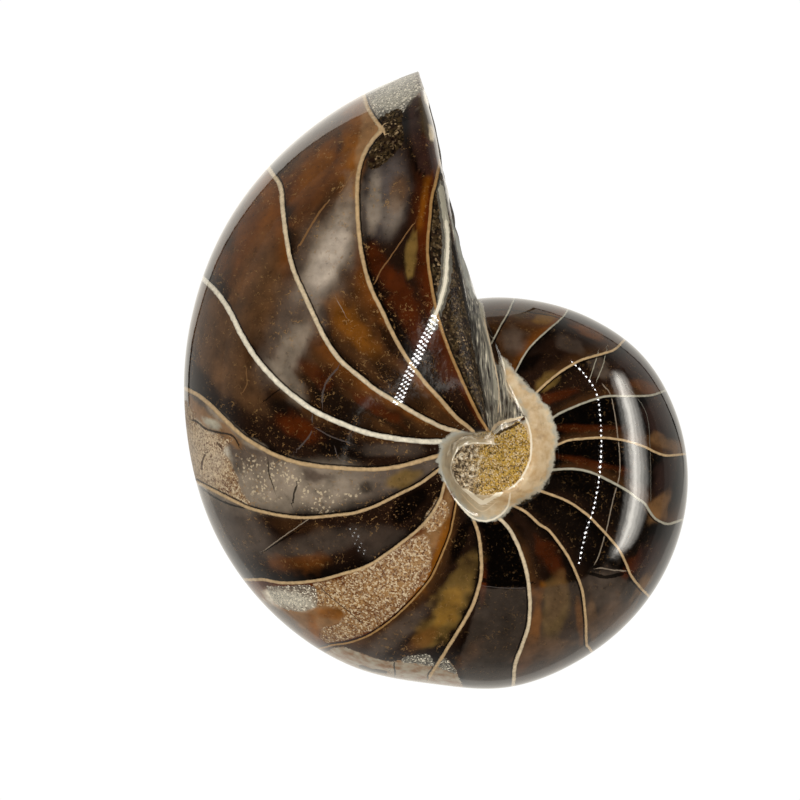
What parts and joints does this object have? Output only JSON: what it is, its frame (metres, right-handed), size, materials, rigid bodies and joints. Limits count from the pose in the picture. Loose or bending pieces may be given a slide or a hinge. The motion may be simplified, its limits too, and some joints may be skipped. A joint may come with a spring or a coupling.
{
  "type": "polished fossil nautilus half",
  "caption": "Half of a fossil coiled shell, sawn flat in its plane of coiling, polished to show its chamber walls, with a broken mouth and a stone-filled umbilicus.",
  "frame": {"origin": "on the coiling axis, in the flat cut face that the half rests on", "axes": "+Z out of the cut face along the coiling axis, +Y towards the tip of the mouth, the mouth opening towards +X"},
  "size_m": [0.0815, 0.0997, 0.0283],
  "materials": {
    "polished_fossil": "polished"
  },
  "bodies": {
    "root": {"nautilus_half": "polished_fossil"}
  },
  "joints": []
}
